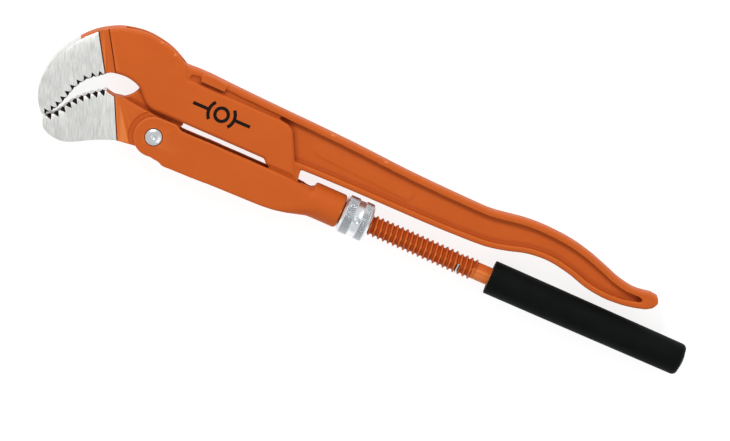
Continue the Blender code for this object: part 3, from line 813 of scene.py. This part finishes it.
def make_yoke():
    """The fork: two cheeks with an open channel, running into a round barrel."""
    sizes = settings()
    nose = arc((0, 0), NOSE_RADIUS, 96, 282, 40)
    lower = smooth([(6.0, -9.6), (7.4, -9.9), (8.6, -10.75)], 3) + [(30.0, -10.1)]
    upper = [(30.0, 7.95), (11.4, 7.6), (10.2, 7.9), (7.9, 9.15), (7.0, 9.4)]
    head = rounded_block("yoke_forging", nose + lower + upper, YOKE_HALF, 0.45, 0.45)
    top, bottom = AXIS_V + BARREL_RADIUS, AXIS_V - BARREL_RADIUS
    body = loft("body", [
        yoke_section(24.0, 7.9, -10.2, YOKE_HALF - 0.02, 22),
        yoke_section(40.0, 8.0, -9.8, YOKE_HALF - 0.02, 22),
        yoke_section(58.0, 8.0, -9.4, YOKE_HALF, 18),
        yoke_section(64.0, 8.0, -8.9, YOKE_HALF, 12),
        yoke_section(70.0, 8.0, -7.9, YOKE_HALF + 0.05, 6),
        yoke_section(75.0, 8.0, -6.7, YOKE_HALF + 0.1, 3.4),
        yoke_section(79.0, 8.1, bottom - 0.05, YOKE_HALF + 0.2, 2.4),
        yoke_section(82.0, 8.4, bottom, BARREL_RADIUS, 2.05)])
    barrel = turned_on_rod("barrel", [(77.6, 0), (77.6, 7.7), (78.2, BARREL_RADIUS),
                                      (BARREL_END - 0.9, BARREL_RADIUS), (BARREL_END, BARREL_RADIUS - 0.9),
                                      (BARREL_END, 0)], 96, False)
    yoke = joined([head, body, barrel])
    change(yoke, "REMESH", mode="VOXEL", voxel_size=sizes.grain * 1.15)
    channel = [(-20.0, -20.0), (FLOOR_START, -20.0), (FLOOR_START, FLOOR_TOP), (56.0, FLOOR_TOP),
               (68.0, -5.9), (CHANNEL_END, -4.4), (CHANNEL_END, 20.0), (-20.0, 20.0)]
    boolean(yoke, "DIFFERENCE", block("channel", channel, -CHANNEL_HALF, CHANNEL_HALF))
    forge(yoke, sizes.grain * 1.15, 3)
    coat(yoke, jaw_coat())
    bore = turned_on_rod("bore", [(CHANNEL_END - PAST, 0), (CHANNEL_END - PAST, BORE_RADIUS),
                                  (BARREL_END + PAST, BORE_RADIUS), (BARREL_END + PAST, 0)], 64, False)
    boolean(yoke, "DIFFERENCE", coat(bore, jaw_coat()))
    seat = RIVET_HEAD_LOW - 0.3
    ring = [(-12, 0), (-12, 4.25), (-seat, 4.25), (-seat, 3.2), (seat, 3.2), (seat, 4.25), (12, 4.25), (12, 0)]
    boolean(yoke, "DIFFERENCE", coat(turned_upright("seat", ring, 0, 0, 64), jaw_coat()))
    thin(yoke)
    finish_piece(yoke, "yoke", "yoke")


def make_jaw_rivet():
    """The rivet: domed heads with a centre dimple on both sides."""
    rim = RIVET_HEAD_LOW + 0.35
    dome = [(rim + (RIVET_HEAD_TOP - rim) * sin(a), 1.0 + (RIVET_HEAD_RADIUS - 1.0) * cos(a))
            for a in (radians(90 * i / 10) for i in range(11))]
    dimple = [(RIVET_HEAD_TOP - 0.22, 0.72), (RIVET_HEAD_TOP - 0.5, 0.45), (RIVET_HEAD_TOP - 0.6, 0.0)]
    half = [(0.0, RIVET_RADIUS), (RIVET_HEAD_LOW, RIVET_RADIUS), (RIVET_HEAD_LOW, RIVET_HEAD_RADIUS - 0.15),
            (RIVET_HEAD_LOW + 0.15, RIVET_HEAD_RADIUS)] + dome + dimple
    profile = [(-w, r) for w, r in reversed(half[1:])] + half
    rivet = coat(turned_upright("rivet_domed", profile, 0, 0, 64), cut_steel())
    finish_piece(rivet, "yoke", "jaw_rivet", 40.0)


def ring_round_rod(u, radius, corners, lift=0.0, first=0):
    """Corners of a ring round the rod; every other one can be lifted."""
    places = []
    for i in range(corners):
        lifted = radius + (lift if (i + first) % 2 == 0 else 0.0)
        places.append(on_rod(u, lifted, 2 * pi * i / corners))
    return places


def make_adjusting_nut():
    """The knurled nut: two knurled bands with a smooth groove and four tommy holes between."""
    spacing = settings().knurl / MM
    root = NUT_RADIUS - KNURL_DEPTH
    corners = 2 * round(2 * pi * NUT_RADIUS / spacing)
    first, last = NUT_GROOVE
    floor = NUT_GROOVE_RADIUS
    front = [(NUT_START, 7.85), (NUT_START + 0.1, 8.0), (NUT_START + 0.9, root - 0.1)]
    groove = [(first + 0.3, floor + 0.12), (first + 0.8, floor), (last - 0.8, floor), (last - 0.3, floor + 0.12)]
    rear = [(NUT_END - 0.9, root - 0.1), (NUT_END - 0.1, 8.0), (NUT_END, 7.85)]
    sections = [ring_round_rod(u, radius, corners) for u, radius in front]
    for start, end, after in ((NUT_START + 1.0, first, groove), (last, NUT_END - 1.0, rear)):
        rows = 2 * round((end - start) / spacing)
        for k in range(rows + 1):
            lift = KNURL_DEPTH if 0 < k < rows else 0.0
            sections.append(ring_round_rod(start + (end - start) * k / rows, root, corners, lift, k))
        sections += [ring_round_rod(u, radius, corners) for u, radius in after]
    nut = loft("nut_knurled", sections)
    with editing(nut, "FACE"):
        # The valleys lie lower than the peaks, so the shorter diagonal follows them
        bpy.ops.mesh.select_all(action="SELECT")
        bpy.ops.mesh.quads_convert_to_tris(quad_method="SHORTEST_DIAGONAL")
    coat(nut, zinc_plate())
    bore = turned_on_rod("bore", [(NUT_START - 2, 0), (NUT_START - 2, 7.1), (NUT_START + 0.7, 5.15),
                                  (NUT_END - 0.7, 5.15), (NUT_END + 2, 7.1), (NUT_END + 2, 0)], 64, False)
    cutters = [bore]
    for quarter in range(4):
        turn = radians(90 * quarter)
        out, across = Vector((0, cos(turn), sin(turn))), Vector((1, 0, 0))
        drill = [(TOMMY_FLOOR - 0.5, 0), (TOMMY_FLOOR, TOMMY_RADIUS), (floor - 0.3, TOMMY_RADIUS),
                 (floor + 0.3, TOMMY_RADIUS + 0.4), (11, TOMMY_RADIUS + 0.4), (11, 0)]
        cutters.append(turned("drill", drill, at((first + last) / 2, AXIS_V), out, across, 32, False))
    boolean(nut, "DIFFERENCE", *(coat(cutter, zinc_plate()) for cutter in cutters))
    finish_piece(nut, "adjusting_nut", "adjusting_nut", 24.0)


def part_turn(name, points):
    """A closed outline of (u, radius) points, turned round the rod over the open ring's arc."""
    piece = circle(name, [on_rod(u, radius, RING_START) for u, radius in points], "NGON")
    with editing(piece):
        bpy.ops.mesh.select_all(action="SELECT")
        bpy.ops.mesh.spin(steps=64, angle=RING_ARC, center=at(0, AXIS_V), axis=(-1, 0, 0))
    face_outwards(piece)
    return piece


def make_threaded_rod():
    """The lower leg: a rolled thread on a round bar, with a flat eye at its front."""
    crest, root = CREST_RADIUS, ROOT_RADIUS
    wave = [(0.0, root), (0.30, root + 0.02), (0.55, root + 0.22), (0.95, crest - 0.2), (1.1, crest - 0.05),
            (1.25, crest), (1.4, crest - 0.05), (1.55, crest - 0.2), (1.95, root + 0.22), (2.2, root + 0.02),
            (PITCH, root)]
    turns = int((THREAD_END - THREAD_START) / PITCH) + 3
    start = THREAD_START - 1.5 * PITCH
    line = [on_rod(start + u, radius, 0) for u, radius in wave]
    thread = circle("rod_threaded", line, "NOTHING")
    with editing(thread, "EDGE"):
        bpy.ops.mesh.select_all(action="DESELECT")
    ends = {0, len(line) - 1}
    for edge in thread.data.edges:
        edge.select = set(edge.vertices) == ends
    with editing(thread, "EDGE"):
        bpy.ops.mesh.delete(type="EDGE")
    # The screw turns about the rod's axis, so the profile is brought to it and taken back
    bpy.ops.object.select_all(action="DESELECT")
    bpy.ops.object.empty_add(location=at(0, AXIS_V))
    axle = bpy.context.object
    change(thread, "SCREW", axis="X", object=axle, screw_offset=PITCH * MM, iterations=turns,
           steps=48, render_steps=48, use_merge_vertices=True, merge_threshold=1e-6,
           use_smooth_shade=True)
    bpy.data.objects.remove(axle)
    front, rear = THREAD_START, THREAD_END
    for u, clear_inner in ((front, True), (rear, False)):
        with editing(thread):
            bpy.ops.mesh.select_all(action="SELECT")
            bpy.ops.mesh.bisect(plane_co=at(u, AXIS_V), plane_no=(1, 0, 0), use_fill=True,
                                clear_inner=clear_inner, clear_outer=not clear_inner)
    face_outwards(thread)
    bar = [(ROD_START, 0), (ROD_START, crest - 0.5), (ROD_START + 0.3, crest - 0.2),
           (front - 0.2, crest - 0.2), (front + 0.6, root), (front + 1.0, root - 0.3), (rear - 1.0, root - 0.3),
           (rear - 0.5, SHANK_RADIUS), (ROD_END - 0.5, SHANK_RADIUS), (ROD_END, SHANK_RADIUS - 0.5), (ROD_END, 0)]
    boolean(thread, "UNION", turned_on_rod("bar", bar, 48, False))
    eye = arc((PIN_U, AXIS_V), EYE_RADIUS, 50, 310, 32) + [(72.5, AXIS_V - 4.2), (72.5, AXIS_V + 4.2)]
    boolean(thread, "UNION", rounded_block("eye", eye[::-1], EYE_HALF, 0.3, 0.3))
    hole = turned_upright("hole", [(-9, 0), (-9, PIN_RADIUS + 0.2), (9, PIN_RADIUS + 0.2), (9, 0)],
                          PIN_U, AXIS_V, 32)
    boolean(thread, "DIFFERENCE", hole)
    groove = part_turn("groove", [(STOP_U - 0.8, 3.5), (STOP_U + 0.8, 3.5), (STOP_U + 0.8, 9), (STOP_U - 0.8, 9)])
    coat(thread, thread_coat())
    # The groove is coated near-black, as painted shade in it
    boolean(thread, "DIFFERENCE", coat(groove, painted_hollow_shade()))
    finish_piece(thread, "lower_leg", "threaded_rod", 50.0)


def make_stop_ring():
    """The open wire ring in its groove, which stops the nut."""
    wire = []
    for i in range(16):
        angle = 2 * pi * i / 16
        wire.append((STOP_U + 0.55 * sin(angle), 4.2 + 0.55 * cos(angle)))
    ring = part_turn("stop_ring_wire", wire)
    coat(ring, spring_wire())
    finish_piece(ring, "lower_leg", "stop_ring")


def make_grip_sleeve():
    """The black sleeve, dipped, with a square front end and a rounded rear one."""
    bore = SHANK_RADIUS + 0.1
    front, rear = SLEEVE_START, SLEEVE_END
    nose = [(rear - 3.2 + 2.6 * sin(a), 4.9 + (SLEEVE_REAR_RADIUS - 4.9) * cos(a))
            for a in (radians(90 * i / 10) for i in range(11))]
    profile = [(front, bore), (front, SLEEVE_RADIUS - 0.35), (front + 0.1, SLEEVE_RADIUS - 0.12),
               (front + 0.35, SLEEVE_RADIUS), (front + 2.2, SLEEVE_RADIUS), (front + 30, SLEEVE_RADIUS - 0.12),
               (front + 60, SLEEVE_RADIUS - 0.3)] + nose + [(rear - 0.15, 2.6), (rear, 0.9), (rear - 0.5, 0.5)]
    profile += [(ROD_END + 1.0, 0.5), (ROD_END + 1.0, bore)]
    sleeve = coat(turned_on_rod("sleeve_dipped", profile, 64, True), dipped_sleeve())
    finish_piece(sleeve, "lower_leg", "grip_sleeve", 50.0)


def finish_pivot_pin():
    """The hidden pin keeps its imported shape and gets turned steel."""
    pin = frame["nodes"]["rod_pivot_pin"]
    for slot in pin.material_slots:
        slot.material = cut_steel()


# ---------------------------------------------------------------- stage


def make_stage():
    """Pale floor, soft studio light and the camera."""
    scene = bpy.context.scene
    bpy.ops.object.select_all(action="DESELECT")
    bpy.ops.mesh.primitive_plane_add(size=6.0, location=(0, 0, FLOOR_HEIGHT - 0.0004))
    floor = bpy.context.object
    floor.name = "floor"
    # Opal acrylic lit from below, as on a product table: it stays white round a flat object
    material, tree, place = new_material("backlit_opal_acrylic")
    speck = add(tree, "TexNoise", {"Vector": place, "Scale": 1 / 60.0})
    base = add(tree, "Mix", {0: speck, 6: linear("#8E8E8E"), 7: linear("#929292")}, 2, data_type="RGBA")
    shader = add(tree, "BsdfPrincipled", {"Base Color": base, "Roughness": 0.9, "Emission Strength": 0.82,
                                          "Emission Color": (1, 1, 1, 1)})
    add(tree, "OutputMaterial", {"Surface": shader})
    coat(floor, material)

    world = bpy.data.worlds.new("soft_studio")
    world.use_nodes = True
    world.node_tree.nodes["Background"].inputs["Color"].default_value = (1, 1, 1, 1)
    world.node_tree.nodes["Background"].inputs["Strength"].default_value = settings().sky_strength
    scene.world = world
    scene.view_settings.view_transform = "Standard"

    lamps = (("key", (-0.55, 0.75, 0.9), 0.45, 9.0), ("fill", (0.7, -0.2, 1.1), 0.9, 1.5))
    for name, place, size, power in lamps:
        bpy.ops.object.light_add(type="AREA", location=place)
        lamp = bpy.context.object
        lamp.name = name
        lamp.data.shape = "DISK"
        lamp.data.size = size
        lamp.data.energy = power
        lamp.rotation_euler = (-Vector(place)).to_track_quat("-Z", "Y").to_euler()

    tilt = radians(ROD_TILT_DEG)
    right = Vector((cos(tilt), sin(tilt), 0))
    lean = radians(settings().camera_lean)
    back = Vector((-right.y * sin(lean), right.x * sin(lean), cos(lean)))
    up = back.cross(right)
    turn = Matrix((right, up, back)).transposed().to_4x4()
    bpy.ops.object.camera_add()
    camera = bpy.context.object
    camera.data.type = "ORTHO"
    camera.data.ortho_scale = VIEW_WIDTH * MM
    camera.matrix_world = Matrix.Translation(Vector(VIEW_CENTRE) * MM + back) @ turn
    scene.camera = camera


# ---------------------------------------------------------------- add-on


class PipeWrenchSettings(bpy.types.PropertyGroup):
    """Sizes and colours of the wrench's finish."""

    coat_colour: FloatVectorProperty(
        name="Coat colour", description="Powder coat on the forgings", subtype="COLOR", size=3,
        min=0, max=1, default=linear("#BF581E")[:3])
    thread_colour: FloatVectorProperty(
        name="Thread colour", description="Powder coat on the thread, where it lies thick",
        subtype="COLOR", size=3, min=0, max=1, default=linear("#C65518")[:3])
    steel_colour: FloatVectorProperty(
        name="Ground steel colour", description="Belt-ground sides of both jaws", subtype="COLOR",
        size=3, min=0, max=1, default=linear("#F2F3F0")[:3])
    zinc_colour: FloatVectorProperty(
        name="Zinc colour", description="Plating on the adjusting nut", subtype="COLOR", size=3,
        min=0, max=1, default=linear("#F2F5F8")[:3])
    sleeve_colour: FloatVectorProperty(
        name="Sleeve colour", description="Plastic of the grip sleeve", subtype="COLOR", size=3,
        min=0, max=1, default=linear("#060909")[:3])
    grain: FloatProperty(
        name="Forging grain", description="Mesh size of the forgings before thinning",
        subtype="DISTANCE", min=0.0003, max=0.002, default=0.0004)
    knurl: FloatProperty(
        name="Knurl spacing", description="Distance between the diamonds of the nut's knurl",
        subtype="DISTANCE", min=0.0005, max=0.003, default=0.00095)
    camera_lean: FloatProperty(
        name="Camera lean", description="How far the camera leans over the handle side, in degrees",
        min=0, max=45, default=7.5)
    sky_strength: FloatProperty(
        name="Sky strength", description="Brightness of the soft light all round", min=0, max=5,
        default=0.7)


class PIPE_WRENCH_OT_stage(bpy.types.Operator):
    """Adds the floor, the lights and the camera"""

    bl_idname = "pipe_wrench.stage"
    bl_label = "Stage"

    def execute(self, context):
        make_stage()
        return {"FINISHED"}


class PIPE_WRENCH_OT_upper_arm(bpy.types.Operator):
    """Makes the forged upper arm with its hook jaw and handle"""

    bl_idname = "pipe_wrench.upper_arm"
    bl_label = "Upper arm"

    def execute(self, context):
        make_upper_arm()
        return {"FINISHED"}


class PIPE_WRENCH_OT_lower_jaw(bpy.types.Operator):
    """Makes the toothed lower jaw with its hub and tongue"""

    bl_idname = "pipe_wrench.lower_jaw"
    bl_label = "Lower jaw"

    def execute(self, context):
        make_lower_jaw()
        return {"FINISHED"}


class PIPE_WRENCH_OT_yoke(bpy.types.Operator):
    """Makes the fork with its barrel"""

    bl_idname = "pipe_wrench.yoke"
    bl_label = "Yoke"

    def execute(self, context):
        make_yoke()
        return {"FINISHED"}


class PIPE_WRENCH_OT_jaw_rivet(bpy.types.Operator):
    """Makes the domed rivet on which the lower jaw turns"""

    bl_idname = "pipe_wrench.jaw_rivet"
    bl_label = "Jaw rivet"

    def execute(self, context):
        make_jaw_rivet()
        return {"FINISHED"}


class PIPE_WRENCH_OT_adjusting_nut(bpy.types.Operator):
    """Makes the knurled nut"""

    bl_idname = "pipe_wrench.adjusting_nut"
    bl_label = "Adjusting nut"

    def execute(self, context):
        make_adjusting_nut()
        return {"FINISHED"}


class PIPE_WRENCH_OT_threaded_rod(bpy.types.Operator):
    """Makes the lower leg with its thread and its flat eye"""

    bl_idname = "pipe_wrench.threaded_rod"
    bl_label = "Threaded rod"

    def execute(self, context):
        make_threaded_rod()
        return {"FINISHED"}


class PIPE_WRENCH_OT_stop_ring(bpy.types.Operator):
    """Makes the wire ring that stops the nut"""

    bl_idname = "pipe_wrench.stop_ring"
    bl_label = "Stop ring"

    def execute(self, context):
        make_stop_ring()
        return {"FINISHED"}


class PIPE_WRENCH_OT_grip_sleeve(bpy.types.Operator):
    """Makes the black sleeve on the lower leg"""

    bl_idname = "pipe_wrench.grip_sleeve"
    bl_label = "Grip sleeve"

    def execute(self, context):
        make_grip_sleeve()
        return {"FINISHED"}


class PIPE_WRENCH_OT_pivot_pin(bpy.types.Operator):
    """Gives the hidden pin its turned steel"""

    bl_idname = "pipe_wrench.pivot_pin"
    bl_label = "Pivot pin"

    def execute(self, context):
        finish_pivot_pin()
        return {"FINISHED"}


STEPS = (
    PIPE_WRENCH_OT_stage, PIPE_WRENCH_OT_upper_arm, PIPE_WRENCH_OT_lower_jaw, PIPE_WRENCH_OT_yoke,
    PIPE_WRENCH_OT_jaw_rivet, PIPE_WRENCH_OT_adjusting_nut, PIPE_WRENCH_OT_threaded_rod,
    PIPE_WRENCH_OT_stop_ring, PIPE_WRENCH_OT_grip_sleeve, PIPE_WRENCH_OT_pivot_pin,
)


class PIPE_WRENCH_PT_panel(bpy.types.Panel):
    """Lists the wrench's settings and pieces."""

    bl_label = "Pipe wrench"
    bl_idname = "PIPE_WRENCH_PT_panel"
    bl_space_type = "VIEW_3D"
    bl_region_type = "UI"
    bl_category = "Wrench"

    def draw(self, context):
        column = self.layout.column()
        for name in PipeWrenchSettings.__annotations__:
            column.prop(context.scene.pipe_wrench, name)
        for step in STEPS:
            column.operator(step.bl_idname)


CLASSES = (PipeWrenchSettings, *STEPS, PIPE_WRENCH_PT_panel)


def register():
    """Registers the classes and the scene's settings."""
    for each in CLASSES:
        bpy.utils.register_class(each)
    bpy.types.Scene.pipe_wrench = PointerProperty(type=PipeWrenchSettings)


def unregister():
    """Takes them out again."""
    del bpy.types.Scene.pipe_wrench
    for each in reversed(CLASSES):
        bpy.utils.unregister_class(each)


def main():
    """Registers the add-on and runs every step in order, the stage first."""
    register()
    for step in STEPS:
        area, name = step.bl_idname.split(".")
        getattr(getattr(bpy.ops, area), name)()


if __name__ == "__main__":
    main()
